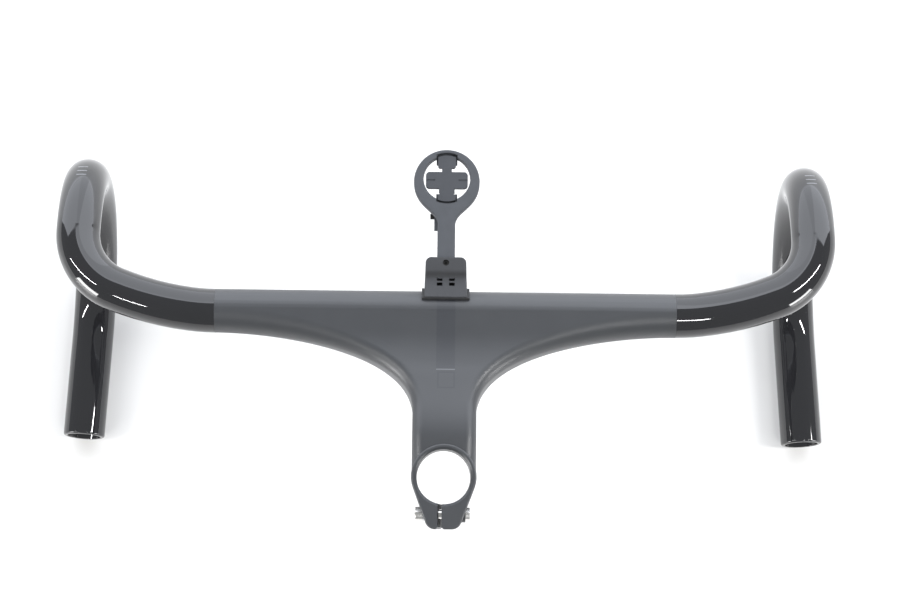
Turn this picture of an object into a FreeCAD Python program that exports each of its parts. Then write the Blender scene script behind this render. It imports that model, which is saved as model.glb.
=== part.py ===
import FreeCAD, Part
import math
import os

V = FreeCAD.Vector

# Driving dimensions, in millimetres and degrees.
# The origin is the middle of the steerer clamp bore, +Y runs forward, +X to the rider's right.
# The drops' straight ends and the stem's centre line are level.
stem_length = 89.1
steerer_dia = 28.6
bore_clearance = 0.1
clamp_wall = 2.9
clamp_stack = 40.0
bore_lean = 7.0
lip_chamfer = 1.2
rim_round = 1.0

tube_dia = 23.8
tube_wall = 2.4
lacquer_edge = 0.1

# The tops run straight to the edge of the gloss lacquer, then ease into the forward sweep.
tops_half_width = 124.0
ease_radius = 108.0
ease_angle = 7.0
sweep_radius = 161.0
sweep_angle = 22.4
bend_radius = 35.0
hood_toe_in = 1.0
ramp_fall = 6.0
bar_reach = 82.9
bar_drop = 123.7
hood_run = 0.7
hook_run = 1.0
hook_splay_share = 0.35
drop_half_width = 209.8
drop_end_back = 50.1

# The stem widens into the tops through long flares.
stem_half_width = 17.0
flare_reach = 24.0
flare_end_back = 56.3
flare_end_handle = 38.6
corner_at_clamp = 6.0
crown_under_clamp = 0.5
crown_inset = 1.0
crown_run = 14.0
keel_run = 20.0
blend_behind = 0.5
blend_pull = 2.4
cavity_wall = 2.6
cavity_skin = 4.5
cavity_corner = 4.0
cavity_bulkhead = 6.4
cavity_step = 0.4

# The rear of the clamp is slit aslant and pulled together by two bolts put in from the left.
ear_back = 27.6
ear_rear_half_width = 8.2
ear_corner = 5.5
slit_width = 2.2
slit_offset = -0.55
slit_slant = 4.2
slit_mouth = 1.1
pinch_bolt_dia = 5.0
pinch_head_dia = 7.6
pinch_head_length = 4.3
pinch_head_chamfer = 0.5
pinch_socket_af = 4.0
pinch_socket_depth = 2.4
pinch_spacing = 18.0
pinch_back = 19.6
pinch_head_seat = 10.2
pinch_nut_seat = 11.7
pinch_tip_short = 0.5
washer_thick = 0.7
nut_boss_dia = 8.6
nut_boss_length = 5.7
nut_barrel_dia = 6.8
nut_barrel_length = 7.0
nut_flange_dia = 7.2
nut_flange_thick = 2.3
hole_clearance = 0.3
thread_gap = 0.08

# The computer mount on the front of the bar.
pad_thick = 1.4
pad_half_width = 12.8
seat_gap = 0.3
seat_top_angle = 64.0
seat_low_angle = -62.0
base_front = 29.5
base_top = 8.8
base_bottom = -10.6
base_lip = 1.2
base_lip_handle = 5.4
base_dip_ahead = 18.4
base_dip_height = 7.0
base_dip_handle = 1.8
base_dip_rise = 0.4
base_crest_ahead = 22.4
base_nose_fall = 0.4
base_chin_height = -7.8
base_chin_back = 4.0
base_heel_ahead = 1.0
base_heel_drop = 1.2
base_half_front = 10.9
base_half_rear = 11.8
base_corner = 3.2
base_edge_round = 1.1
window_width = 3.0
window_length = 2.0
window_side = 3.3
window_ahead = 13.3
window_pitch = 3.0
window_floor = 3.2
arm_width = 9.6
arm_thick = 5.6
arm_bottom = 1.2
arm_edge_round = 0.8
tongue_back = 17.9
ring_ahead = 71.9
ring_inner_dia = 25.4
ring_wall = 5.2
ring_hole_ahead = 1.9
ring_rim_round = 0.6
shoulder_angle = 36.9
shoulder_handle = 6.4
flare_root_back = 5.8
flare_root_handle = 5.5
slot_clearance = 0.1

mount_bolt_dia = 4.0
mount_bolt_side = 6.2
mount_bolt_low = 5.0
mount_bolt_length = 12.5
mount_head_dia = 7.0
mount_head_length = 4.0
mount_head_depth = 5.0
mount_socket_af = 3.0
mount_socket_depth = 2.0
insert_dia = 6.4
insert_length = 7.0
insert_pad = 5.0
insert_floor = 1.5
insert_glue = 0.05
set_screw_dia = 3.2
set_screw_ahead = 26.2
set_screw_sunk = 1.5
set_screw_length = 8.9
set_socket_af = 1.6
set_socket_depth = 1.4

# The two-fin lug under the arm, with a captive nut in its left fin.
lug_ahead = 54.9
lug_drop = 5.7
lug_radius = 4.6
lug_web_back = 10.0
lug_web_rise = 2.0
fin_thick = 3.0
fin_gap = 3.2
left_fin_face = -6.6
lug_screw_dia = 3.2
lug_screw_past = 2.2
lug_head_dia = 5.5
lug_head_thick = 2.0
lug_nut_af = 5.5
lug_nut_thick = 2.0

# The quarter-turn receiver lies on two ledges in the ring.
ledge_thick = 2.4
ledge_reach = 4.4
pocket_past_hole = 1.6
pocket_width = 11.4
receiver_short = 1.4
receiver_thick = 2.4
cross_length = 22.8
cross_width = 9.2
cross_back = 1.0
cross_corner = 2.1
tab_width = 9.7
tab_corner = 1.3
front_tab_start = 5.8
rear_tab_start = 9.0
front_neck = 5.3
rear_neck = 8.6
notch_radius = 0.55
groove_dia = 0.9
groove_length = 5.0
receiver_screw_dia = 2.2
receiver_screw_inset = 1.8
receiver_screw_cover = 0.5
receiver_head_dia = 4.0
receiver_head_length = 1.5

# Values worked out from the driving dimensions.
# Cutting shapes run past what they cut by the overrun.
overrun = 5.0
tube_r = tube_dia / 2
body_r = tube_r - lacquer_edge
inner_r = tube_r - tube_wall
bore_r = steerer_dia / 2 + bore_clearance
clamp_r = bore_r + clamp_wall
clamp_half = clamp_stack / 2
bar = V(0, stem_length, 0)
lean = math.radians(bore_lean)
bore_axis = V(0, -math.sin(lean), math.cos(lean))
bore_ahead = V(0, math.cos(lean), math.sin(lean))
nut_boss_r = nut_boss_dia / 2
ring_centre = bar + V(0, ring_ahead, arm_bottom)
ring_outer_r = ring_inner_dia / 2 + ring_wall
hole_centre = ring_centre + V(0, ring_hole_ahead, 0)
pocket_r = ring_inner_dia / 2 + pocket_past_hole
receiver_base = hole_centre + V(0, 0, ledge_thick)
receiver_screw_out = ring_inner_dia / 2 - receiver_screw_inset
lug_centre = bar + V(0, lug_ahead, arm_bottom - lug_drop)
right_fin_face = left_fin_face + 2 * fin_thick + fin_gap
set_screw_top = bar + V(0, set_screw_ahead, base_top - set_screw_sunk)


def line(a, b):
    return Part.LineSegment(a, b).toShape()


def arc(a, through, b):
    return Part.Arc(a, through, b).toShape()


def bezier(*poles):
    curve = Part.BezierCurve()
    curve.setPoles(list(poles))
    return curve.toShape()


def polygon(points):
    return Part.Face(Part.makePolygon(points + [points[0]]))


def face(edges):
    return Part.Face(Part.Wire(Part.__sortEdges__(edges)))


def cylinder(radius, start, end):
    run = end - start
    return Part.makeCylinder(radius, run.Length, start, run)


def box(x0, x1, y0, y1, z0, z1):
    return Part.makeBox(x1 - x0, y1 - y0, z1 - z0, V(x0, y0, z0))


def hexagon(across_flats, start, end):
    run = end - start
    turn = FreeCAD.Rotation(V(0, 0, 1), run)
    reach = across_flats / 2 / math.cos(math.radians(30))
    ring = []
    for k in range(6):
        angle = math.radians(60 * k)
        ring.append(start + turn.multVec(V(reach * math.cos(angle), reach * math.sin(angle), 0)))
    return polygon(ring).extrude(run)


def flipped(p):
    return V(-p.x, p.y, p.z)


def mirrored(shape):
    return shape.mirror(V(0, 0, 0), V(1, 0, 0))


def at_clamp(side, ahead, up):
    """A point given in the clamp's own directions: across, ahead and along the bore."""
    return V(side, 0, 0) + bore_ahead * ahead + bore_axis * up


def lean_back(shape):
    """Turns a shape drawn square to Z into the clamp's own directions."""
    shape.rotate(V(0, 0, 0), V(1, 0, 0), bore_lean)
    return shape


def save(name, shape):
    solids = shape.removeSplitter().Solids
    result = solids[0] if len(solids) == 1 else Part.makeCompound(solids)
    print(name, "solids", len(solids), "valid", result.isValid(), "volume", round(result.Volume, 1))
    result.exportStep("parts/" + name + ".step")


# The tube of the bar.
def arc_reach(radius, turn):
    """How far the ends of an arc lie from its corner."""
    return radius * math.tan(turn / 2)


def half_angle(before, corner, after):
    return (before - corner).getAngle(after - corner) / 2


def rounded_tube(radius, points, bend_radii):
    """A round rod along straight runs joined by tangent arcs."""
    pieces = []
    here = points[0]
    for k, bend in enumerate(bend_radii):
        before, corner, after = points[k], points[k + 1], points[k + 2]
        back = (before - corner).normalize()
        on = (after - corner).normalize()
        half = half_angle(before, corner, after)
        reach = bend / math.tan(half)
        start = corner + back * reach
        centre = corner + (back + on).normalize() * (bend / math.sin(half))
        if start.distanceToPoint(here) > 0.01:
            pieces.append(cylinder(radius, here, start))
        disc = Part.Face(Part.Wire([Part.makeCircle(radius, start, back)]))
        pieces.append(disc.revolve(centre, on.cross(back), 180 - math.degrees(2 * half)))
        here = corner + on * reach
    pieces.append(cylinder(radius, here, points[-1]))
    return pieces[0].fuse(pieces[1:])


def drop_tube(radius, start_x):
    """The right half of the tube, from the tops round the hook to the drop's open end."""
    ease = math.radians(ease_angle)
    sweep = math.radians(sweep_angle)
    fall = math.radians(ramp_fall)
    toe = math.radians(hood_toe_in)
    ease_reach = arc_reach(ease_radius, ease)
    sweep_reach = arc_reach(sweep_radius, sweep - ease)
    bend_reach = arc_reach(bend_radius, math.pi / 2 + toe - sweep)

    def on_ramp(side, ahead):
        return bar + V(side, ahead * math.cos(fall), -ahead * math.sin(fall))

    first_x = tops_half_width + ease_reach
    second_x = first_x + (ease_reach + sweep_reach) * math.cos(ease)
    second_ahead = (ease_reach + sweep_reach) * math.sin(ease)
    third_x = second_x + (sweep_reach + bend_reach) * math.cos(sweep)
    third_ahead = second_ahead + (sweep_reach + bend_reach) * math.sin(sweep)
    front = bar_reach / math.cos(fall)
    front_x = third_x - (front - third_ahead) * math.tan(toe)
    foot_x = front_x + hook_splay_share * (drop_half_width - front_x)
    ease_corner = on_ramp(first_x, 0)
    sweep_corner = on_ramp(second_x, second_ahead)
    bend_corner = on_ramp(third_x, third_ahead)
    hook_corner = on_ramp(front_x, front)
    foot = bar + V(foot_x, bar_reach, -bar_drop)
    end = bar + V(drop_half_width, -drop_end_back, -bar_drop)

    # The hook's two arcs fill what the bend and the short straight runs leave.
    hook_reach = (hook_corner - bend_corner).Length - bend_reach - hood_run
    lower_reach = (foot - hook_corner).Length - hook_reach - hook_run
    hook_radius = hook_reach * math.tan(half_angle(bend_corner, hook_corner, foot))
    lower_radius = lower_reach * math.tan(half_angle(hook_corner, foot, end))
    points = [bar + V(start_x, 0, 0), ease_corner, sweep_corner, bend_corner, hook_corner, foot, end]
    return rounded_tube(radius, points, [ease_radius, sweep_radius, bend_radius, hook_radius, lower_radius])


# The middle of the tops and the stem: the plan outline and the side outline, cut with each other.
def plan_block():
    end = V(tops_half_width, -body_r, 0)
    neck = V(stem_half_width, -flare_end_back, 0)
    poles = [end, end - V(flare_reach, 0, 0), neck + V(0, flare_end_handle, 0), neck]
    others = [flipped(p) for p in poles]
    front = V(tops_half_width, tube_dia, 0)
    rear = V(stem_half_width, -stem_length, 0)
    edges = [
        line(flipped(front), front),
        line(front, end),
        bezier(*poles),
        line(neck, rear),
        line(rear, flipped(rear)),
        line(flipped(rear), flipped(neck)),
        bezier(*reversed(others)),
        line(flipped(end), flipped(front)),
    ]
    outline = face(edges)
    outline.translate(bar - V(0, 0, clamp_stack))
    return outline.extrude(V(0, 0, 2 * clamp_stack))


def clamp_top(ahead, sign):
    """Height of the stem's skin at the clamp, just under the clamp's end face."""
    return sign * (clamp_half - crown_under_clamp) / math.cos(lean) + ahead * math.tan(lean)


def side_block():
    front = clamp_r - crown_inset
    top_rear = V(0, 0, clamp_top(0, 1))
    top_front = V(0, front, clamp_top(front, 1))
    low_rear = V(0, 0, clamp_top(0, -1))
    low_front = V(0, front, clamp_top(front, -1))
    along = V(0, 1, math.tan(lean))
    crest = bar + V(0, 0, body_r)
    keel = bar - V(0, 0, body_r)
    behind = V(0, -body_r - blend_behind, 0)
    edges = [
        line(top_rear, top_front),
        bezier(top_front, top_front + along * crown_run, crest + behind * blend_pull, crest + behind),
        line(crest + behind, crest),
        arc(crest, bar + V(0, body_r, 0), keel),
        line(keel, keel + behind),
        bezier(keel + behind, keel + behind * blend_pull, low_front + along * keel_run, low_front),
        line(low_front, low_rear),
        line(low_rear, top_rear),
    ]
    outline = face(edges)
    half = tops_half_width + overrun
    outline.translate(V(-half, 0, 0))
    return outline.extrude(V(2 * half, 0, 0))


def flare_edge(body, side, up):
    """The longest of the flare's edges in one quarter of the body."""
    found = []
    for edge in body.Edges:
        bounds = edge.BoundBox
        middle = edge.valueAt((edge.FirstParameter + edge.LastParameter) / 2)
        behind = bounds.YMax < stem_length - body_r + 0.5
        inner_end = bounds.XMin if side > 0 else -bounds.XMax
        if behind and inner_end > stem_half_width - 0.5 and middle.z * up > body_r / 2:
            found.append(edge)
    return max(found, key=lambda e: e.BoundBox.XLength)


def middle_body():
    """The four long corners are rounded from the tube's own radius to a small one at the clamp."""
    body = plan_block().common(side_block()).Solids[0]
    full = body_r - lacquer_edge
    for side in (-1, 1):
        for up in (-1, 1):
            edge = flare_edge(body, side, up)
            first = abs(edge.valueAt(edge.FirstParameter).x)
            last = abs(edge.valueAt(edge.LastParameter).x)
            if first > last:
                body = body.makeFillet(full, corner_at_clamp, [edge])
            else:
                body = body.makeFillet(corner_at_clamp, full, [edge])
    return body


def clamp_block():
    """The ring round the bore, its straight-sided ears behind it, and the bosses under the nuts."""
    corner = V(ear_rear_half_width, -ear_back, 0)
    beside = math.atan2(ear_rear_half_width, ear_back) + math.acos(clamp_r / corner.Length)
    touch = V(math.sin(beside), -math.cos(beside), 0) * clamp_r
    outline = face([
        arc(touch, V(0, clamp_r, 0), flipped(touch)),
        line(touch, corner),
        line(corner, flipped(corner)),
        line(flipped(corner), flipped(touch)),
    ])
    outline.translate(V(0, 0, -clamp_half))
    block = outline.extrude(V(0, 0, clamp_stack))
    corners = [e for e in block.Edges if e.BoundBox.YMax < -ear_back + 0.01 and e.BoundBox.XLength < 0.01]
    block = block.makeFillet(ear_corner, corners)
    rims = [e for e in block.Edges if e.BoundBox.ZLength < 0.01]
    block = block.makeFillet(rim_round, rims)
    for sign in (-1, 1):
        seat = V(pinch_nut_seat, -pinch_back, sign * pinch_spacing / 2)
        block = block.fuse(cylinder(nut_boss_r, seat - V(nut_boss_length, 0, 0), seat))
    return lean_back(block)


def stem_cavity():
    """The hollow of the stem, from the bore's front wall to the hollow of the tops."""
    half = stem_half_width - cavity_wall
    rear = clamp_r + cavity_bulkhead
    front = stem_length - tube_r / 2

    def ring(ahead, low, high):
        block = box(-half, half, ahead, ahead + 1, low, high)
        rounded = block.makeFillet(cavity_corner, [e for e in block.Edges if e.BoundBox.YLength > 0.9])
        return min(rounded.Faces, key=lambda f: f.BoundBox.YMax).OuterWire

    tall = ring(rear, clamp_top(rear, -1) + cavity_skin, clamp_top(rear, 1) - cavity_skin)
    flat = ring(front, cavity_step - inner_r, inner_r - cavity_step)
    return Part.makeLoft([tall, flat], True, True)


def slit():
    """The slit from the bore to the rear, with a small vee at its mouth."""
    half = slit_width / 2
    wide = half + slit_mouth + overrun
    outline = polygon([
        V(-half, 0, 0),
        V(half, 0, 0),
        V(half, slit_mouth - ear_back, 0),
        V(wide, -ear_back - overrun, 0),
        V(-wide, -ear_back - overrun, 0),
        V(-half, slit_mouth - ear_back, 0),
    ])
    tall = clamp_stack + 2 * overrun
    outline.translate(V(slit_offset, 0, -tall / 2))
    cut = outline.extrude(V(0, 0, tall))
    cut.rotate(V(slit_offset, 0, 0), V(0, 1, 0), -slit_slant)
    return lean_back(cut)


def pinch_cuts(up):
    """The hole of one pinch bolt, the seats at both its ends, and the nut's bore."""
    far = stem_half_width + overrun

    def spot(side):
        return at_clamp(side, -pinch_back, up)

    nut_floor = pinch_nut_seat - nut_barrel_length
    return [
        cylinder(pinch_bolt_dia / 2 + hole_clearance, spot(-far), spot(far)),
        cylinder(pinch_head_dia / 2 + hole_clearance, spot(-far), spot(-pinch_head_seat)),
        cylinder(nut_boss_r, spot(pinch_nut_seat), spot(far)),
        cylinder(nut_barrel_dia / 2 + hole_clearance / 2, spot(nut_floor), spot(far)),
    ]


def insert_spot(side, ahead):
    return bar + V(side * mount_bolt_side, ahead, -mount_bolt_low)


def insert_floor_ahead():
    """How far ahead of the bar's centre line the threaded inserts end."""
    return math.sqrt(body_r ** 2 - (mount_bolt_low + insert_dia / 2) ** 2) - insert_length


def insert_boss():
    """The thick pad inside the bar that the two threaded inserts are bonded in."""
    side = mount_bolt_side + insert_pad
    rear = stem_length + insert_floor_ahead() - insert_floor
    low = -mount_bolt_low - insert_pad
    return box(-side, side, rear, stem_length + tube_dia, low, low + 2 * insert_pad)


def bar_stem():
    right = drop_tube(tube_r, tops_half_width)
    outer = middle_body().fuse([right, mirrored(right), clamp_block()])
    hollow = drop_tube(inner_r, 0)
    inside = hollow.fuse([mirrored(hollow), stem_cavity()]).cut(insert_boss())
    shell = outer.cut(inside)
    past = clamp_half + overrun
    cuts = [cylinder(bore_r, at_clamp(0, 0, -past), at_clamp(0, 0, past)), slit()]
    for sign in (-1, 1):
        mouth = at_clamp(0, 0, sign * clamp_half)
        deep = at_clamp(0, 0, sign * (clamp_half - lip_chamfer))
        cuts.append(Part.makeCone(bore_r, bore_r + lip_chamfer, lip_chamfer, deep, mouth - deep))
        cuts.extend(pinch_cuts(sign * pinch_spacing / 2))
        insert_hole = insert_dia / 2 + insert_glue
        cuts.append(cylinder(insert_hole, insert_spot(sign, insert_floor_ahead()), insert_spot(sign, tube_dia)))
    for cut in cuts:
        shell = shell.cut(cut)
    return shell


# The pinch bolts go in from the left, and their nuts sit in the right ear.
def pinch_bolt(up):
    under_head = at_clamp(-pinch_head_seat - washer_thick, -pinch_back, up)
    top = under_head - V(pinch_head_length, 0, 0)
    tip = at_clamp(pinch_nut_seat + nut_flange_thick - pinch_tip_short, -pinch_back, up)
    head = cylinder(pinch_head_dia / 2, under_head, top)
    rims = [e for e in head.Edges if e.BoundBox.XMax < top.x + 0.01]
    head = head.makeChamfer(pinch_head_chamfer, rims)
    shank = cylinder(pinch_bolt_dia / 2, under_head, tip)
    socket = hexagon(pinch_socket_af, top + V(pinch_socket_depth, 0, 0), top - V(overrun, 0, 0))
    return head.fuse(shank).cut(socket)


def pinch_washer(up):
    inner = at_clamp(-pinch_head_seat, -pinch_back, up)
    outer = inner - V(washer_thick, 0, 0)
    disc = cylinder(pinch_head_dia / 2, inner, outer)
    return disc.cut(cylinder((pinch_bolt_dia + hole_clearance) / 2, inner, outer))


def pinch_nut(up):
    seat = at_clamp(pinch_nut_seat, -pinch_back, up)
    floor = seat - V(nut_barrel_length - hole_clearance, 0, 0)
    top = seat + V(nut_flange_thick, 0, 0)
    body = cylinder(nut_barrel_dia / 2, floor, seat).fuse(cylinder(nut_flange_dia / 2, seat, top))
    return body.cut(cylinder(pinch_bolt_dia / 2 + thread_gap, floor, top))


# The mount's pieces are placed from the bar's centre line.
def around_bar(radius, angle):
    turn = math.radians(angle)
    return bar + V(0, radius * math.cos(turn), radius * math.sin(turn))


def seat_arc(radius):
    return arc(around_bar(radius, seat_low_angle), around_bar(radius, 0), around_bar(radius, seat_top_angle))


def mount_pad():
    inside = body_r + seat_gap
    outside = inside + pad_thick
    outline = face([
        seat_arc(inside),
        line(around_bar(inside, seat_top_angle), around_bar(outside, seat_top_angle)),
        seat_arc(outside),
        line(around_bar(outside, seat_low_angle), around_bar(inside, seat_low_angle)),
    ])
    outline.translate(V(-pad_half_width, 0, 0))
    pad = outline.extrude(V(2 * pad_half_width, 0, 0))
    for side in (-1, 1):
        hole = cylinder(mount_bolt_dia / 2 + hole_clearance, insert_spot(side, 0), insert_spot(side, tube_dia))
        pad = pad.cut(hole)
    return pad


def base_profile():
    """The side outline of the base: a saddle on the bar, a dip behind the crest and a flat nose."""
    inside = body_r + seat_gap + pad_thick
    top_seat = around_bar(inside, seat_top_angle)
    low_seat = around_bar(inside, seat_low_angle)
    lip = around_bar(inside + base_lip, seat_top_angle)
    down = around_bar(base_lip_handle, seat_top_angle - 90) - bar
    dip = bar + V(0, base_dip_ahead, base_dip_height)
    rise = V(0, base_dip_handle, base_dip_rise)
    crest = bar + V(0, base_crest_ahead, base_top)
    nose = bar + V(0, base_front, base_top - base_nose_fall)
    chin = bar + V(0, base_front, base_chin_height)
    jaw = bar + V(0, base_front - base_chin_back, base_bottom)
    heel = V(0, low_seat.y + base_heel_ahead, base_bottom - base_heel_drop)
    level = (nose - crest).normalize() * base_dip_handle
    return face([
        seat_arc(inside),
        line(top_seat, lip),
        bezier(lip, lip + down, dip - rise, dip),
        bezier(dip, dip + rise, crest - level, crest),
        line(crest, nose),
        line(nose, chin),
        line(chin, jaw),
        line(jaw, heel),
        line(heel, low_seat),
    ])


def mount_base():
    outline = base_profile()
    outline.translate(V(-pad_half_width, 0, 0))
    block = outline.extrude(V(2 * pad_half_width, 0, 0))
    front = stem_length + base_front
    rear_left = V(-base_half_rear, stem_length, -tube_dia)
    front_left = V(-base_half_front, front, -tube_dia)
    plan = polygon([rear_left, flipped(rear_left), flipped(front_left), front_left]).extrude(V(0, 0, 2 * tube_dia))
    corners = [e for e in plan.Edges if e.BoundBox.YMin > front - 0.01 and e.BoundBox.ZLength > tube_dia]
    block = block.common(plan.makeFillet(base_corner, corners))

    def on_top_edge(edge):
        bounds = edge.BoundBox
        across = bounds.YLength < 0.01 and bounds.YMax < front - 0.01
        return bounds.ZMin > base_dip_height - base_dip_rise and bounds.YMin > stem_length + base_lip_handle \
            and not across

    block = block.makeFillet(base_edge_round, [e for e in block.Edges if on_top_edge(e)])
    half = arm_width / 2 + slot_clearance
    rear = stem_length + tongue_back - slot_clearance
    block = block.cut(box(-half, half, rear, front + overrun, arm_bottom, arm_bottom + arm_thick + slot_clearance))
    head_floor = base_front - mount_head_depth
    for side in (-1, 1):
        shank = cylinder(mount_bolt_dia / 2 + hole_clearance, insert_spot(side, 0), insert_spot(side, base_front))
        well = cylinder(mount_head_dia / 2 + hole_clearance, insert_spot(side, head_floor),
                        insert_spot(side, base_front + overrun))
        block = block.cut(shank).cut(well)
        for row in (0, 1):
            x = side * window_side
            y = stem_length + window_ahead + window_pitch * row
            window = box(x - window_width / 2, x + window_width / 2, y, y + window_length,
                         arm_bottom + window_floor, base_top + overrun)
            block = block.cut(window)
    floor = set_screw_top - V(0, 0, set_screw_length + slot_clearance)
    return block.cut(cylinder(set_screw_dia / 2 + slot_clearance, floor, set_screw_top + V(0, 0, overrun)))


def arm_outline():
    """The plan of the arm: a straight tongue and beam, a flare on each side, and the ring."""
    half = arm_width / 2
    turn = math.radians(shoulder_angle)
    tangent = V(math.sin(turn), math.cos(turn), 0)
    shoulder = ring_centre + V(math.cos(turn), -math.sin(turn), 0) * ring_outer_r
    root = ring_centre + V(half, -ring_outer_r - flare_root_back, 0)
    tail = bar + V(half, tongue_back, arm_bottom)
    flare = [root, root + V(0, flare_root_handle, 0), shoulder - tangent * shoulder_handle, shoulder]
    other = [flipped(p) for p in flare]
    return face([
        line(flipped(tail), tail),
        line(tail, root),
        bezier(*flare),
        arc(shoulder, ring_centre + V(0, ring_outer_r, 0), flipped(shoulder)),
        bezier(*reversed(other)),
        line(flipped(root), flipped(tail)),
    ])


def lug_fin(left_face):
    """One fin: a round eye below the arm and a web that runs back and up to its side."""
    low = lug_centre.z
    top = arm_bottom + lug_web_rise
    rear = lug_centre.y - lug_web_back
    front = lug_centre.y + lug_radius
    turn = math.atan2(top - low, lug_web_back) + math.acos(lug_radius / math.hypot(top - low, lug_web_back))
    touch = lug_centre + V(0, -math.cos(turn), math.sin(turn)) * lug_radius
    outline = polygon([
        V(0, rear, top),
        V(0, touch.y, touch.z),
        lug_centre,
        V(0, front, low),
        V(0, front, top),
    ])
    outline.translate(V(left_face, 0, 0))
    eye = Part.makeCylinder(lug_radius, fin_thick, V(left_face, lug_centre.y, low), V(1, 0, 0))
    return outline.extrude(V(fin_thick, 0, 0)).fuse(eye)


def across_lug(x):
    return V(x, lug_centre.y, lug_centre.z)


def mount_arm():
    top = V(0, 0, arm_thick)
    arm = arm_outline().extrude(top)
    tail = stem_length + tongue_back
    rims = [e for e in arm.Edges if e.BoundBox.ZLength < 0.01 and e.BoundBox.YMax > tail + 0.01]
    arm = arm.makeFillet(arm_edge_round, rims)
    hole_r = ring_inner_dia / 2
    arm = arm.cut(cylinder(hole_r, hole_centre, hole_centre + top))
    inner = [e for e in arm.Edges if e.BoundBox.ZLength < 0.01 and abs(e.BoundBox.XLength - ring_inner_dia) < 0.01]
    arm = arm.makeFillet(ring_rim_round, inner)
    half = pocket_width / 2
    long = pocket_r + overrun
    strip = box(-half, half, hole_centre.y - long, hole_centre.y + long, receiver_base.z, arm_bottom + arm_thick)
    arm = arm.cut(strip.common(cylinder(pocket_r, receiver_base, hole_centre + top)))
    disc = cylinder(hole_r + rim_round, hole_centre, receiver_base)
    for sign in (-1, 1):
        outer = hole_centre.y + sign * (hole_r + rim_round)
        inner_end = hole_centre.y + sign * (hole_r - ledge_reach)
        ledge = box(-half, half, min(outer, inner_end), max(outer, inner_end), arm_bottom, receiver_base.z)
        arm = arm.fuse(ledge.common(disc))
        screw = hole_centre + V(0, sign * receiver_screw_out, 0)
        arm = arm.cut(cylinder((receiver_screw_dia + hole_clearance) / 2, screw, screw + top))
    arm = arm.fuse([lug_fin(left_fin_face), lug_fin(left_fin_face + fin_thick + fin_gap)])
    screw_hole = cylinder((lug_screw_dia + hole_clearance) / 2, across_lug(left_fin_face), across_lug(right_fin_face))
    nut_hole = hexagon(lug_nut_af + hole_clearance, across_lug(left_fin_face + lug_nut_thick),
                       across_lug(left_fin_face - overrun))
    floor = set_screw_top - V(0, 0, set_screw_length)
    set_hole = cylinder(set_screw_dia / 2 + slot_clearance, floor, set_screw_top)
    return arm.cut(screw_hole).cut(nut_hole).cut(set_hole)


def lug_screw():
    """Cross screw of the lug: its head on the right fin, its end past the nut in the left fin."""
    seat = across_lug(right_fin_face)
    head = cylinder(lug_head_dia / 2, seat, across_lug(right_fin_face + lug_head_thick))
    return head.fuse(cylinder(lug_screw_dia / 2, seat, across_lug(left_fin_face - lug_screw_past)))


def lug_nut():
    start = across_lug(left_fin_face + lug_nut_thick)
    end = across_lug(left_fin_face)
    return hexagon(lug_nut_af, start, end).cut(cylinder(lug_screw_dia / 2 + thread_gap, start, end))


def mount_bolt(side):
    under = insert_spot(side, base_front - mount_head_depth)
    tip = under - V(0, mount_bolt_length, 0)
    top = under + V(0, mount_head_length, 0)
    bolt = cylinder(mount_bolt_dia / 2, tip, under).fuse(cylinder(mount_head_dia / 2, under, top))
    return bolt.cut(hexagon(mount_socket_af, top - V(0, mount_socket_depth, 0), top + V(0, overrun, 0)))


def bar_insert(side):
    start = insert_spot(side, insert_floor_ahead())
    end = start + V(0, insert_length, 0)
    return cylinder(insert_dia / 2, start, end).cut(cylinder(mount_bolt_dia / 2 + thread_gap, start, end))


def set_screw():
    low = set_screw_top - V(0, 0, set_screw_length)
    socket = hexagon(set_socket_af, set_screw_top - V(0, 0, set_socket_depth), set_screw_top + V(0, 0, overrun))
    return cylinder(set_screw_dia / 2, low, set_screw_top).cut(socket)


def receiver():
    """The quarter-turn receiver: a cross bar between two tabs that lie on the ring's ledges."""
    low = receiver_base.z
    high = low + receiver_thick
    here = hole_centre.y

    def plate(width, start, end, corner):
        slab = box(-width / 2, width / 2, here + start, here + end, low, high)
        upright = [e for e in slab.Edges if e.BoundBox.ZLength > receiver_thick - 0.01]
        return slab.makeFillet(corner, upright)

    bar_rear = -cross_back - cross_width / 2
    bar_front = -cross_back + cross_width / 2
    cross = plate(cross_length, bar_rear, bar_front, cross_corner)
    front = plate(tab_width, front_tab_start, pocket_r + overrun, tab_corner)
    rear = box(-tab_width / 2, tab_width / 2, here - pocket_r - overrun, here - rear_tab_start, low, high)
    front_link = box(-front_neck / 2, front_neck / 2, here, here + front_tab_start + tab_corner, low, high)
    rear_link = box(-rear_neck / 2, rear_neck / 2, here - rear_tab_start, here, low, high)
    piece = cross.fuse([front, rear, front_link, rear_link])
    piece = piece.common(cylinder(pocket_r - receiver_short, receiver_base, receiver_base + V(0, 0, receiver_thick)))
    for sign in (-1, 1):
        notch = V(sign * rear_neck / 2, here - rear_tab_start + notch_radius, low)
        piece = piece.cut(cylinder(notch_radius, notch, notch + V(0, 0, receiver_thick)))
        start = V(sign * (cross_length / 2 - groove_length), here - cross_back, high)
        piece = piece.cut(cylinder(groove_dia / 2, start, start + V(sign * (groove_length + overrun), 0, 0)))
        screw = receiver_base + V(0, sign * receiver_screw_out, 0)
        deep = screw + V(0, 0, receiver_thick - receiver_screw_cover)
        piece = piece.cut(cylinder(receiver_screw_dia / 2 + thread_gap, screw, deep))
    return piece


def receiver_screw(sign):
    seat = hole_centre + V(0, sign * receiver_screw_out, 0)
    tip = seat + V(0, 0, ledge_thick + receiver_thick - receiver_screw_cover - hole_clearance)
    head = cylinder(receiver_head_dia / 2, seat - V(0, 0, receiver_head_length), seat)
    return cylinder(receiver_screw_dia / 2, seat, tip).fuse(head)


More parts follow.
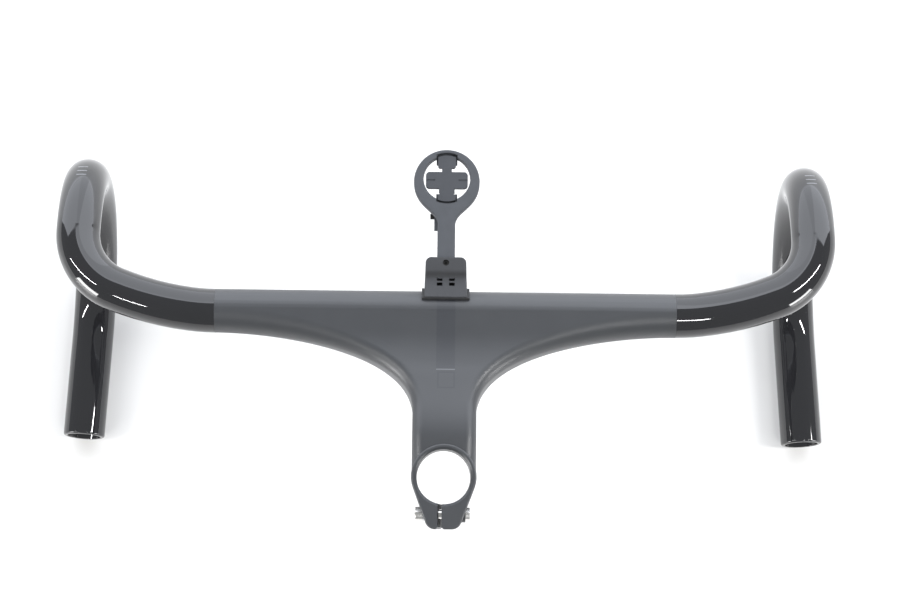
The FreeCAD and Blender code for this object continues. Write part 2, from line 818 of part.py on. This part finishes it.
os.makedirs("parts", exist_ok=True)
save("bar_stem", bar_stem())
for name, up in (("upper", pinch_spacing / 2), ("lower", -pinch_spacing / 2)):
    save(name + "_pinch_bolt", pinch_bolt(up))
    save(name + "_pinch_washer", pinch_washer(up))
    save(name + "_pinch_nut", pinch_nut(up))
save("mount_pad", mount_pad())
save("mount_base", mount_base())
save("mount_arm", mount_arm())
save("lug_screw", lug_screw())
save("lug_nut", lug_nut())
for name, side in (("left", -1), ("right", 1)):
    save("mount_bolt_" + name, mount_bolt(side))
    save("bar_insert_" + name, bar_insert(side))
save("arm_set_screw", set_screw())
save("quarter_turn_receiver", receiver())
for name, sign in (("front", 1), ("rear", -1)):
    save("receiver_screw_" + name, receiver_screw(sign))
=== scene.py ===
import math

import bpy
from mathutils import Matrix, Vector


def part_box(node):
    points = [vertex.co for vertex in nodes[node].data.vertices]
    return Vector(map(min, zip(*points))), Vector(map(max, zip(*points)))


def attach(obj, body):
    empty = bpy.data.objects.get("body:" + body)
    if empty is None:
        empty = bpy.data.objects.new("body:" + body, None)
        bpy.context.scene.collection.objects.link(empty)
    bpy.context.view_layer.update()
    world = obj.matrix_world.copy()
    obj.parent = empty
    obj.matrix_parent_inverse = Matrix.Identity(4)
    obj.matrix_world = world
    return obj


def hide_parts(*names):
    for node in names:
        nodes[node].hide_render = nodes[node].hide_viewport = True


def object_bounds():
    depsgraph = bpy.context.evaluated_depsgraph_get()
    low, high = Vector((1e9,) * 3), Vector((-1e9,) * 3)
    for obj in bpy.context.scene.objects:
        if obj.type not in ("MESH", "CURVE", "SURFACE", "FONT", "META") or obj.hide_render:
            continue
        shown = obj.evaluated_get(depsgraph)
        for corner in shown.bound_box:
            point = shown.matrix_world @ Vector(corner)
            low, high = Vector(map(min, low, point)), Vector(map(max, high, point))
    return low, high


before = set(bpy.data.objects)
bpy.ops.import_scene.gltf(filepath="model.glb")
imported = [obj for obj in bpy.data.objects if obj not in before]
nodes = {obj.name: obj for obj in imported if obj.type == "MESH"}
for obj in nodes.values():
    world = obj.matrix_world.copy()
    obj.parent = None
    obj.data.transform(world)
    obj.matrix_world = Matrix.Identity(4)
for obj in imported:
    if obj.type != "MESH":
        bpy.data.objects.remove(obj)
cad_bounds = [list(corner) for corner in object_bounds()]

# Table. The bar lies on a plain white sheet, resting on the straight ends of its drops.
# The sheet takes the soft shadows, and where it is seen it also glows a little, so that it reads as white.
table_height = cad_bounds[0][2]
table_size = 12.0
table_colour = (0.80, 0.79, 0.775, 1.0)
table_rough = 0.3
table_glow = 0.03


def new_material(name):
    """An empty node material, with its nodes and its links."""
    material = bpy.data.materials.new(name)
    material.use_nodes = True
    material.node_tree.nodes.clear()
    return material, material.node_tree.nodes, material.node_tree.links


def math_node(made, links, operation, first, second):
    """One sum on two values, each a number or another node's output."""
    node = made.new("ShaderNodeMath")
    node.operation = operation
    for socket, value in zip(node.inputs, (first, second)):
        if isinstance(value, (int, float)):
            socket.default_value = value
        else:
            links.new(value, socket)
    return node.outputs[0]


def seen_directly(made, links):
    """1 for rays from the eye, from a mirror or through glass, and 0 for rays that only carry light."""
    path = made.new("ShaderNodeLightPath")
    mirrored = math_node(made, links, "MAXIMUM", path.outputs["Is Glossy Ray"],
                         path.outputs["Is Transmission Ray"])
    return math_node(made, links, "MAXIMUM", path.outputs["Is Camera Ray"], mirrored)


material, made, links = new_material("white_table_sheet")
output = made.new("ShaderNodeOutputMaterial")
paper = made.new("ShaderNodeBsdfPrincipled")
paper.inputs["Base Color"].default_value = table_colour
paper.inputs["Roughness"].default_value = table_rough
glow = made.new("ShaderNodeEmission")
links.new(math_node(made, links, "MULTIPLY", seen_directly(made, links), table_glow), glow.inputs["Strength"])
both = made.new("ShaderNodeAddShader")
links.new(paper.outputs[0], both.inputs[0])
links.new(glow.outputs[0], both.inputs[1])
links.new(both.outputs[0], output.inputs["Surface"])

bpy.ops.object.select_all(action="DESELECT")
bpy.ops.mesh.primitive_plane_add(size=table_size, location=(0, 0, table_height))
table = bpy.context.object
table.name = "table"
bpy.ops.object.transform_apply(location=True, rotation=True, scale=True)
table.data.materials.append(material)

# Light. A bright wall stands in front of the bar, four tube lamps hang from the ceiling of a dim room,
# and two low windows stand behind on the left and on the right. The lamps themselves aren't seen.
wall_ahead = 1.5
wall_top = 2.85
wall_parts = {
    "left_wall": (-3.6, -0.35, 2.5),
    "middle_wall": (-0.35, 0.30, 2.15),
    "right_wall": (0.30, 3.6, 2.8),
}
wall_tint = (0.94, 0.98, 1.06)
ceiling_height = 2.0
tubes = {
    "left_tube_near": ((-2.22, 0.03), (-0.86, -0.33), 0.07),
    "left_tube_far": ((-0.81, -0.77), (-0.63, -0.85), 0.07),
    "right_tube_near": ((1.585, 0.16), (0.74, -0.18), 0.10),
    "right_tube_far": ((0.19, -0.65), (0.40, -0.71), 0.07),
}
tube_glow = 110.0
windows = {
    "left_window": ((-2.6, -1.5, 0.35), (0.8, 1.2)),
    "right_window": ((2.5, -1.6, 0.3), (0.6, 1.2)),
}
window_glow = 14.0
plain_white = (1, 1, 1)
room_glow = 0.42
room_tint = (0.95, 0.98, 1.0, 1.0)


def lamp(name, place, aim, across, size, glow, tint):
    """A flat lamp of a given brightness: its power is that brightness times pi times its area."""
    light = bpy.data.lights.new(name, "AREA")
    light.shape = "RECTANGLE"
    light.size, light.size_y = size
    light.energy = glow * math.pi * size[0] * size[1]
    light.color = tint
    holder = bpy.data.objects.new(name, light)
    bpy.context.scene.collection.objects.link(holder)
    back = (Vector(place) - Vector(aim)).normalized()
    side = (Vector(across) - back * back.dot(Vector(across))).normalized()
    turn = Matrix((side, back.cross(side), back)).transposed().to_4x4()
    holder.matrix_world = Matrix.Translation(place) @ turn
    holder.visible_camera = False


wall_middle = (wall_top + table_height) / 2
for name, (left, right, glow) in wall_parts.items():
    middle = (left + right) / 2
    lamp(name, (middle, wall_ahead, wall_middle), (middle, 0, wall_middle), (1, 0, 0),
         (right - left, wall_top - table_height), glow, wall_tint)
for name, (start, end, width) in tubes.items():
    start = Vector((*start, 1)) * ceiling_height
    end = Vector((*end, 1)) * ceiling_height
    lamp(name, (start + end) / 2, (start + end) / 2 - Vector((0, 0, 1)), end - start,
         ((end - start).length, width), tube_glow, plain_white)
for name, (place, size) in windows.items():
    lamp(name, place, (0, 0, place[2]), (0, 0, 1), size, window_glow, plain_white)

world = bpy.data.worlds.new("dim_room")
bpy.context.scene.world = world
world.use_nodes = True
world.node_tree.nodes.clear()
made = world.node_tree.nodes
links = world.node_tree.links
backdrop = made.new("ShaderNodeBackground")
backdrop.inputs["Color"].default_value = room_tint
path = made.new("ShaderNodeLightPath")
unlit = math_node(made, links, "MULTIPLY", path.outputs["Is Camera Ray"], 1 - room_glow)
links.new(math_node(made, links, "ADD", unlit, room_glow), backdrop.inputs["Strength"])
links.new(backdrop.outputs[0], made.new("ShaderNodeOutputWorld").inputs["Surface"])

# Camera. It stands over the rider's side and looks down at the bar, as in the photograph.
camera_place = Vector((-0.00627, -0.18167, 1.29399))
camera_yaw = math.radians(1.79)
camera_tilt = math.radians(12.14)
camera_roll = math.radians(2.44)
camera_lens = 97.94
film_width = 36.0
near_clip = 0.05
camera = bpy.data.objects.new("camera", bpy.data.cameras.new("camera"))
bpy.context.scene.collection.objects.link(camera)
camera.data.sensor_width = film_width
camera.data.lens = camera_lens
camera.data.clip_start = near_clip
turn = Matrix.Rotation(-camera_yaw, 4, "Z") @ Matrix.Rotation(camera_tilt, 4, "X")
camera.matrix_world = Matrix.Translation(camera_place) @ turn @ Matrix.Rotation(camera_roll, 4, "Z")
bpy.context.scene.camera = camera
bpy.context.scene.view_settings.view_transform = "Standard"

# Bar and stem. One hollow carbon moulding, satin in the middle and lacquered outboard of two masked lines.
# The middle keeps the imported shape, and each lacquered end is a spun circle with a wall, to shine evenly.
# A smooth stripe runs down the crown to a bare square, and three lines on each hook are for setting levers.
bar_height = 0.0
bar_ahead = 0.0891
tube_radius = 0.0119
tube_wall = 0.0024
lacquer_line = 0.124
masking = 0.00005
weld = masking / 10
cut_touch = masking / 100
ease_radius = 0.108
ease_angle = math.radians(7.0)
sweep_radius = 0.161
sweep_angle = math.radians(22.4)
bend_radius = 0.035
toe_in = math.radians(1.0)
ramp_fall = math.radians(6.0)
bar_reach = 0.0829
bar_drop = 0.1237
hood_run = 0.0007
hook_run = 0.0010
hook_splay_share = 0.35
drop_half_width = 0.2098
drop_end_back = 0.0501
lip_round = 0.0012
lip_steps = 6
lip_inner_round = 0.0003
lip_inner_steps = 2
tube_sides = 96
turn_step = math.radians(2.5)
fewest_steps = 3
edge_angle = math.radians(30)


def half_corner(before, corner, after):
    """Half the angle between the two straight runs that meet in a corner."""
    return (before - corner).angle(after - corner) / 2


def tube_route():
    """The corners of the right half of the tube, and the radius of the arc that rounds each of them."""
    ease_reach = ease_radius * math.tan(ease_angle / 2)
    sweep_reach = sweep_radius * math.tan((sweep_angle - ease_angle) / 2)
    bend_reach = bend_radius * math.tan((math.pi / 2 + toe_in - sweep_angle) / 2)

    def on_ramp(side, ahead):
        return Vector((side, bar_ahead + ahead * math.cos(ramp_fall),
                       bar_height - ahead * math.sin(ramp_fall)))

    ease = (lacquer_line + ease_reach, 0)
    sweep = (ease[0] + (ease_reach + sweep_reach) * math.cos(ease_angle),
             (ease_reach + sweep_reach) * math.sin(ease_angle))
    bend = (sweep[0] + (sweep_reach + bend_reach) * math.cos(sweep_angle),
            sweep[1] + (sweep_reach + bend_reach) * math.sin(sweep_angle))
    front = bar_reach / math.cos(ramp_fall)
    front_side = bend[0] - (front - bend[1]) * math.tan(toe_in)
    foot_side = front_side + hook_splay_share * (drop_half_width - front_side)
    low = bar_height - bar_drop
    points = [
        Vector((lacquer_line, bar_ahead, bar_height)),
        on_ramp(*ease),
        on_ramp(*sweep),
        on_ramp(*bend),
        on_ramp(front_side, front),
        Vector((foot_side, bar_ahead + bar_reach, low)),
        Vector((drop_half_width, bar_ahead - drop_end_back, low)),
    ]
    hook_reach = (points[4] - points[3]).length - bend_reach - hood_run
    lower_reach = (points[5] - points[4]).length - hook_reach - hook_run
    hook_radius = hook_reach * math.tan(half_corner(*points[3:6]))
    lower_radius = lower_reach * math.tan(half_corner(*points[4:7]))
    return points, [ease_radius, sweep_radius, bend_radius, hook_radius, lower_radius]


def select_edges(piece, ends_pass):
    """In edit mode, selects the edges whose two ends both pass a test, and nothing else."""
    bpy.ops.mesh.select_mode(type="EDGE")
    bpy.ops.mesh.select_all(action="DESELECT")
    bpy.ops.object.mode_set(mode="OBJECT")
    corners = piece.data.vertices
    for edge in piece.data.edges:
        edge.select = all(ends_pass(corners[index].co) for index in edge.vertices)
    bpy.ops.object.mode_set(mode="EDIT")


def drawn_tube():
    """A circle is drawn along the route: pulled over the straight runs and spun round the bends."""
    points, radii = tube_route()
    bpy.ops.object.select_all(action="DESELECT")
    here = points[0] - Vector((masking, 0, 0))
    bpy.ops.mesh.primitive_circle_add(vertices=tube_sides, radius=tube_radius, location=here,
                                      rotation=(0, math.pi / 2, 0))
    tube = bpy.context.object
    bpy.ops.object.transform_apply(location=True, rotation=True, scale=True)
    bpy.ops.object.mode_set(mode="EDIT")
    bpy.ops.mesh.select_all(action="SELECT")
    for radius, before, corner, after in zip(radii, points, points[1:], points[2:]):
        back = (before - corner).normalized()
        on = (after - corner).normalized()
        half = half_corner(before, corner, after)
        reach = radius / math.tan(half)
        start = corner + back * reach
        if (start - here).length > weld:
            bpy.ops.mesh.extrude_edges_move(TRANSFORM_OT_translate={"value": start - here})
        turn = math.pi - 2 * half
        bpy.ops.mesh.spin(steps=max(fewest_steps, round(turn / turn_step)), angle=turn,
                          center=corner + (back + on).normalized() * (radius / math.sin(half)),
                          axis=back.cross(on).normalized())
        here = corner + on * reach
    bpy.ops.mesh.extrude_edges_move(TRANSFORM_OT_translate={"value": points[-1] - here})
    bpy.ops.mesh.select_all(action="SELECT")
    bpy.ops.mesh.remove_doubles(threshold=weld)
    bpy.ops.mesh.normals_make_consistent(inside=False)
    bpy.ops.object.mode_set(mode="OBJECT")
    return tube, points[-1]


def give_wall_and_lip(tube, end):
    """Gives the drawn tube its wall, and rounds the lip at the drop's end."""
    wall = tube.modifiers.new("wall", "SOLIDIFY")
    wall.thickness = tube_wall
    wall.offset = -1
    wall.use_even_offset = True
    bpy.ops.object.modifier_apply(modifier=wall.name)
    bpy.ops.object.mode_set(mode="EDIT")
    lips = ((tube_radius, lip_round, lip_steps), (tube_radius - tube_wall, lip_inner_round, lip_inner_steps))
    for radius, size, steps in lips:
        select_edges(tube, lambda corner: abs((corner - end).length - radius) < masking)
        bpy.ops.mesh.bevel(offset=size, offset_type="OFFSET", segments=steps, profile=0.5, affect="EDGES")
    bpy.ops.object.mode_set(mode="OBJECT")


def mirrored_copy(right):
    """The left tube is the right one's mirror image."""
    left = right.copy()
    left.data = right.data.copy()
    bpy.context.scene.collection.objects.link(left)
    left.data.transform(Matrix.Scale(-1, 4, (1, 0, 0)))
    left.data.flip_normals()
    return left


def merged_copy(name):
    """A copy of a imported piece, with its loose triangles merged into one skin."""
    node = nodes[name]
    piece = node.copy()
    piece.data = node.data.copy()
    piece.parent = None
    bpy.context.scene.collection.objects.link(piece)
    piece.name = name + "_skin"
    bpy.ops.object.select_all(action="DESELECT")
    piece.select_set(True)
    bpy.context.view_layer.objects.active = piece
    bpy.ops.mesh.customdata_custom_splitnormals_clear()
    bpy.ops.object.mode_set(mode="EDIT")
    bpy.ops.mesh.select_all(action="SELECT")
    bpy.ops.mesh.remove_doubles(threshold=weld)
    bpy.ops.mesh.normals_make_consistent(inside=False)
    bpy.ops.object.mode_set(mode="OBJECT")
    return piece


def smooth(piece):
    """Rounds look round, and sharp edges stay edges."""
    bpy.ops.object.select_all(action="DESELECT")
    piece.select_set(True)
    bpy.context.view_layer.objects.active = piece
    bpy.ops.object.shade_smooth_by_angle(angle=edge_angle)
    return piece


def finish_piece(piece, material, node_name):
    """Gives a piece its material and its slot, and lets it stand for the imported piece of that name.
    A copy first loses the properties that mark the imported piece, because it is a new one."""
    piece.data.materials.clear()
    piece.data.materials.append(material)
    for key in list(piece.keys()):
        del piece[key]
    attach(piece, "root")
    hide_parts(node_name)


def middle_moulding():
    """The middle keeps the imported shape, cut off at the masked lines and closed there."""
    middle = merged_copy("bar_stem")
    bpy.ops.object.mode_set(mode="EDIT")
    for side in (-1, 1):
        cut = side * (lacquer_line - masking)
        bpy.ops.mesh.select_all(action="SELECT")
        bpy.ops.mesh.bisect(plane_co=(cut, 0, 0), plane_no=(side, 0, 0), threshold=cut_touch,
                            clear_outer=True)
        select_edges(middle, lambda corner: abs(corner.x - cut) < weld)
        bpy.ops.mesh.fill(use_beauty=True)
    bpy.ops.object.mode_set(mode="OBJECT")
    return middle


right_tube, right_end = drawn_tube()
give_wall_and_lip(right_tube, right_end)
left_tube = mirrored_copy(right_tube)
bar_skin = middle_moulding()
bpy.ops.object.select_all(action="DESELECT")
for part in (right_tube, left_tube, bar_skin):
    part.select_set(True)
bpy.context.view_layer.objects.active = bar_skin
bpy.ops.object.join()
bar_skin.name = "bar_skin"
smooth(bar_skin)

# Its finish: the two blacks, the stripe and its end line, the square's outline, and the hooks' three lines.
satin_black = (0.030, 0.032, 0.036, 1)
satin_rough = (0.38, 0.46)
gloss_black = (0.012, 0.012, 0.0135, 1)
gloss_rough = (0.02, 0.05)
stripe_black = (0.021, 0.023, 0.028, 1)
line_white = (0.16, 0.165, 0.175, 1)
lacquer_index = 1.65
stripe_middle = 0.0003
stripe_half_width = 0.0050
stripe_rear = 0.0560
stripe_line = 0.0006
square_middle = (0.00065, 0.04975)
square_half = 0.0047
square_line = 0.0008
hook_lines = (0.1661, 0.1690, 0.1721)
hook_line_width = 0.0006
hook_line_low = -0.018
hook_line_reach = (0.1980, 0.2034)
stripe_line_share = 0.5
cloud_size = 0.012
grain_size = 0.0005
grain_depth = 0.000012
wave_size = 0.022
wave_depth = 0.00006


def surface(name):
    """A Principled material: the material, its nodes, its links, the shader and the object's coordinates."""
    material, made, links = new_material(name)
    shader = made.new("ShaderNodeBsdfPrincipled")
    links.new(shader.outputs[0], made.new("ShaderNodeOutputMaterial").inputs["Surface"])
    return material, made, links, shader, made.new("ShaderNodeTexCoord").outputs["Object"]


def parted(made, links, place):
    """The x, y and z of a place."""
    split = made.new("ShaderNodeSeparateXYZ")
    links.new(place, split.inputs[0])
    return split.outputs


def band(made, links, value, low, high):
    """1 where the value lies between low and high, and 0 elsewhere."""
    above = math_node(made, links, "GREATER_THAN", value, low)
    below = math_node(made, links, "LESS_THAN", value, high)
    return math_node(made, links, "MULTIPLY", above, below)


def mixed(made, links, share, first, second):
    """The first colour where share is 0 and the second where it is 1. Sockets 6, 7 and 2 are for colours."""
    mix = made.new("ShaderNodeMix")
    mix.data_type = "RGBA"
    links.new(share, mix.inputs["Factor"])
    for socket, value in ((mix.inputs[6], first), (mix.inputs[7], second)):
        if isinstance(value, tuple):
            socket.default_value = value
        else:
            links.new(value, socket)
    return mix.outputs[2]


def ranged(made, links, value, low, high):
    """A value from 0 to 1 spread over low to high, each a number or another node's output."""
    spread = math_node(made, links, "SUBTRACT", high, low)
    return math_node(made, links, "ADD", low, math_node(made, links, "MULTIPLY", value, spread))


def noise(made, links, place, size, detail=2.0):
    """Cloudy noise whose blotches are about size metres across."""
    cloud = made.new("ShaderNodeTexNoise")
    links.new(place, cloud.inputs["Vector"])
    cloud.inputs["Scale"].default_value = 1 / size
    cloud.inputs["Detail"].default_value = detail
    return cloud.outputs["Fac"]


def raised(made, links, height, shader):
    """Lets a height in metres stand out of the surface."""
    bump = made.new("ShaderNodeBump")
    bump.inputs["Distance"].default_value = 1.0
    links.new(height, bump.inputs["Height"])
    links.new(bump.outputs["Normal"], shader.inputs["Normal"])


material, made, links, skin, place = surface("satin_and_gloss_carbon")
x, y, z = parted(made, links, place)
side = math_node(made, links, "ABSOLUTE", x, 0)
gloss = math_node(made, links, "GREATER_THAN", side, lacquer_line - masking)
on_top = math_node(made, links, "GREATER_THAN", z, 0)
from_middle = math_node(made, links, "ABSOLUTE", math_node(made, links, "SUBTRACT", x, stripe_middle), 0)
in_width = math_node(made, links, "LESS_THAN", from_middle, stripe_half_width)
in_stripe = math_node(made, links, "MULTIPLY", in_width, on_top)
before_end = math_node(made, links, "GREATER_THAN", y, stripe_rear)
stripe = math_node(made, links, "MULTIPLY", in_stripe, before_end)
at_end = band(made, links, y, stripe_rear - stripe_line, stripe_rear)
end_line = math_node(made, links, "MULTIPLY", in_stripe, at_end)
square_side = math_node(made, links, "ABSOLUTE", math_node(made, links, "SUBTRACT", x, square_middle[0]), 0)
square_end = math_node(made, links, "ABSOLUTE", math_node(made, links, "SUBTRACT", y, square_middle[1]), 0)
off_square = math_node(made, links, "MAXIMUM", square_side, square_end)
outline = band(made, links, off_square, square_half - square_line, square_half)
square = math_node(made, links, "MULTIPLY", outline, on_top)
above_hook = math_node(made, links, "GREATER_THAN", z, hook_line_low)
on_hook = math_node(made, links, "MULTIPLY", band(made, links, side, *hook_line_reach), above_hook)
marks = 0
for height in hook_lines:
    mark = band(made, links, y, height - hook_line_width / 2, height + hook_line_width / 2)
    marks = math_node(made, links, "ADD", marks, mark)
marks = math_node(made, links, "MULTIPLY", marks, on_hook)
cloud = noise(made, links, place, cloud_size)
grain = noise(made, links, place, grain_size, 1.0)
colour = mixed(made, links, math_node(made, links, "MAXIMUM", stripe, square), satin_black, stripe_black)
colour = mixed(made, links, gloss, colour, gloss_black)
faint_line = math_node(made, links, "MULTIPLY", end_line, stripe_line_share)
colour = mixed(made, links, math_node(made, links, "MAXIMUM", marks, faint_line), colour, line_white)
links.new(colour, skin.inputs["Base Color"])
satin = ranged(made, links, cloud, *satin_rough)
lacquer = ranged(made, links, cloud, *gloss_rough)
links.new(ranged(made, links, gloss, satin, lacquer), skin.inputs["Roughness"])
skin.inputs["IOR"].default_value = lacquer_index
unlacquered = math_node(made, links, "SUBTRACT", 1, gloss)
grain_height = math_node(made, links, "MULTIPLY", math_node(made, links, "MULTIPLY", grain, grain_depth),
                         unlacquered)
wave = math_node(made, links, "MULTIPLY", noise(made, links, place, wave_size, 0.0), wave_depth)
raised(made, links, math_node(made, links, "ADD", grain_height, wave), skin)
finish_piece(bar_skin, material, "bar_stem")

# Pinch bolts, washers and nuts. Two titanium cap screws go through the ears of the clamp from the left, and
# flanged nuts take them in the right ear. Their faces are turned, so fine rings run round each axis.
titanium = (0.80, 0.785, 0.755, 1)
# The nuts' titanium is paler than the bolts': a painted highlight, for the brighter light that falls on the
# right ear.
nut_titanium_painted_light = (0.90, 0.885, 0.86, 1)
titanium_rough = (0.16, 0.30)
washer_steel = (0.56, 0.56, 0.57, 1)
stain_size = 0.002
ring_pitch = 0.00022
ring_depth = 0.000006


def turned_metal(name, middle, colour, rough):
    """Bare metal with the fine rings of a lathe round an axis that runs across the bar."""
    material, made, links, metal, place = surface(name)
    x, y, z = parted(made, links, place)
    off_y = math_node(made, links, "SUBTRACT", y, middle.y)
    off_z = math_node(made, links, "SUBTRACT", z, middle.z)
    squares = math_node(made, links, "ADD", math_node(made, links, "POWER", off_y, 2),
                        math_node(made, links, "POWER", off_z, 2))
    radius = math_node(made, links, "SQRT", squares, 0)
    ring_place = made.new("ShaderNodeCombineXYZ")
    links.new(radius, ring_place.inputs[0])
    links.new(x, ring_place.inputs[1])
    rings = noise(made, links, ring_place.outputs[0], ring_pitch, 1.0)
    metal.inputs["Base Color"].default_value = colour
    metal.inputs["Metallic"].default_value = 1
    links.new(ranged(made, links, noise(made, links, place, stain_size), *rough), metal.inputs["Roughness"])
    raised(made, links, math_node(made, links, "MULTIPLY", rings, ring_depth), metal)
    return material


for level in ("upper", "lower"):
    # The nuts take the paler titanium, a painted highlight on the right ear.
    for part, colour, slot in (("bolt", titanium, "titanium"), ("nut", nut_titanium_painted_light, "titanium"),
                               ("washer", washer_steel, "steel")):
        name = level + "_pinch_" + part
        low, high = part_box(name)
        metal = turned_metal(name + "_turned", (low + high) / 2, colour, titanium_rough)
        finish_piece(smooth(merged_copy(name)), metal, name)

# Mount pad. A thin black rubber foot under the computer mount, moulded to the round of the bar.
# Rubber is dull, with a fine bloom that makes it a little paler in patches.
rubber_black = (0.014, 0.014, 0.015, 1)
rubber_bloom = (0.030, 0.030, 0.031, 1)
rubber_rough = (0.60, 0.78)
bloom_size = 0.004
rubber_grain = 0.00035
rubber_depth = 0.00002
material, made, links, rubber, place = surface("mount_rubber")
cloud = noise(made, links, place, bloom_size)
links.new(mixed(made, links, cloud, rubber_black, rubber_bloom), rubber.inputs["Base Color"])
links.new(ranged(made, links, cloud, *rubber_rough), rubber.inputs["Roughness"])
grain = noise(made, links, place, rubber_grain)
raised(made, links, math_node(made, links, "MULTIPLY", grain, rubber_depth), rubber)
finish_piece(smooth(merged_copy("mount_pad")), material, "mount_pad")

# Mount base and arm. Moulded of glass-filled nylon in an eroded mould, so they are matt with a fine grain.
# The base is bolted to the bar, and the arm's tongue sits in its slot under one set screw.
base_black = (0.036, 0.037, 0.040, 1)
arm_black = (0.062, 0.066, 0.074, 1)
nylon_rough = (0.58, 0.72)
nylon_index = 1.40
nylon_paler = 1.25
nylon_darker = 0.8
cloud_share = 0.6
nylon_cloud = 0.006
nylon_grain = 0.0004
nylon_depth = 0.00003


def moulded_nylon(name, colour):
    """Matt moulded plastic with a fine grain and faint clouds of paler and darker black."""
    material, made, links, nylon, place = surface(name)
    cloud = noise(made, links, place, nylon_cloud)
    grain = noise(made, links, place, nylon_grain, 1.0)
    paler = (*(nylon_paler * part for part in colour[:3]), 1)
    darker = (*(nylon_darker * part for part in colour[:3]), 1)
    share = math_node(made, links, "ADD", math_node(made, links, "MULTIPLY", cloud, cloud_share),
                      math_node(made, links, "MULTIPLY", grain, 1 - cloud_share))
    links.new(mixed(made, links, share, darker, paler), nylon.inputs["Base Color"])
    links.new(ranged(made, links, cloud, *nylon_rough), nylon.inputs["Roughness"])
    nylon.inputs["IOR"].default_value = nylon_index
    raised(made, links, math_node(made, links, "MULTIPLY", grain, nylon_depth), nylon)
    return material


base_nylon = moulded_nylon("base_nylon", base_black)
finish_piece(smooth(merged_copy("mount_base")), base_nylon, "mount_base")
arm_nylon = moulded_nylon("arm_nylon", arm_black)
finish_piece(smooth(merged_copy("mount_arm")), arm_nylon, "mount_arm")

# Quarter-turn receiver. The cross that takes the computer's foot is a separate plastic moulding with the same
# matt finish, a little paler than the base, and two small screws hold it in the ring from below.
receiver_black = (0.050, 0.053, 0.060, 1)
receiver_finish = moulded_nylon("receiver_plastic_black", receiver_black)
receiver = smooth(merged_copy("quarter_turn_receiver"))
finish_piece(receiver, receiver_finish, "quarter_turn_receiver")

# Black screws. The mount's bolts, the set screw, the receiver's screws and the lug's cross screw are
# blackened steel, a little worn, so patches of it shine more than the rest.
blackened = (0.020, 0.020, 0.021, 1)
worn = (0.075, 0.073, 0.070, 1)
screw_rough = (0.28, 0.50)
screw_bareness = 0.85
wear_size = 0.0016
wear_detail = 3.0
wear_depth = 0.000010
black_screws = ("lug_screw", "mount_bolt_left", "mount_bolt_right", "arm_set_screw", "receiver_screw_front",
                "receiver_screw_rear")
material, made, links, steel, place = surface("blackened_steel")
wear = noise(made, links, place, wear_size, wear_detail)
links.new(mixed(made, links, wear, blackened, worn), steel.inputs["Base Color"])
steel.inputs["Metallic"].default_value = screw_bareness
links.new(ranged(made, links, wear, *screw_rough), steel.inputs["Roughness"])
raised(made, links, math_node(made, links, "MULTIPLY", wear, wear_depth), steel)
for name in black_screws:
    finish_piece(smooth(merged_copy(name)), material, name)

# Lug nut. A plated steel nut held in a pocket of the lug's left fin. Its plating is a little uneven,
# so small patches of it shine more than the rest.
plated_steel = (0.60, 0.60, 0.61, 1)
plated_rough = (0.25, 0.42)
patch_size = 0.0009
patch_detail = 3.0
patch_depth = 0.000012
material, made, links, steel, place = surface("plated_steel")
patches = noise(made, links, place, patch_size, patch_detail)
steel.inputs["Base Color"].default_value = plated_steel
steel.inputs["Metallic"].default_value = 1
links.new(ranged(made, links, patches, *plated_rough), steel.inputs["Roughness"])
raised(made, links, math_node(made, links, "MULTIPLY", patches, patch_depth), steel)
finish_piece(smooth(merged_copy("lug_nut")), material, "lug_nut")

# Bar inserts. Two threaded alloy bushes bonded into pads of the bar take the mount's bolts.
# They are plain alloy with a fine cut surface, and the bar and the mount hide them.
insert_alloy = (0.72, 0.72, 0.73, 1)
insert_rough = (0.30, 0.45)
cut_mark_size = 0.0005
cut_mark_depth = 0.000012
material, made, links, alloy, place = surface("turned_alloy")
cut_marks = noise(made, links, place, cut_mark_size)
alloy.inputs["Base Color"].default_value = insert_alloy
alloy.inputs["Metallic"].default_value = 1
links.new(ranged(made, links, cut_marks, *insert_rough), alloy.inputs["Roughness"])
raised(made, links, math_node(made, links, "MULTIPLY", cut_marks, cut_mark_depth), alloy)
for name in ("bar_insert_left", "bar_insert_right"):
    finish_piece(smooth(merged_copy(name)), material, name)
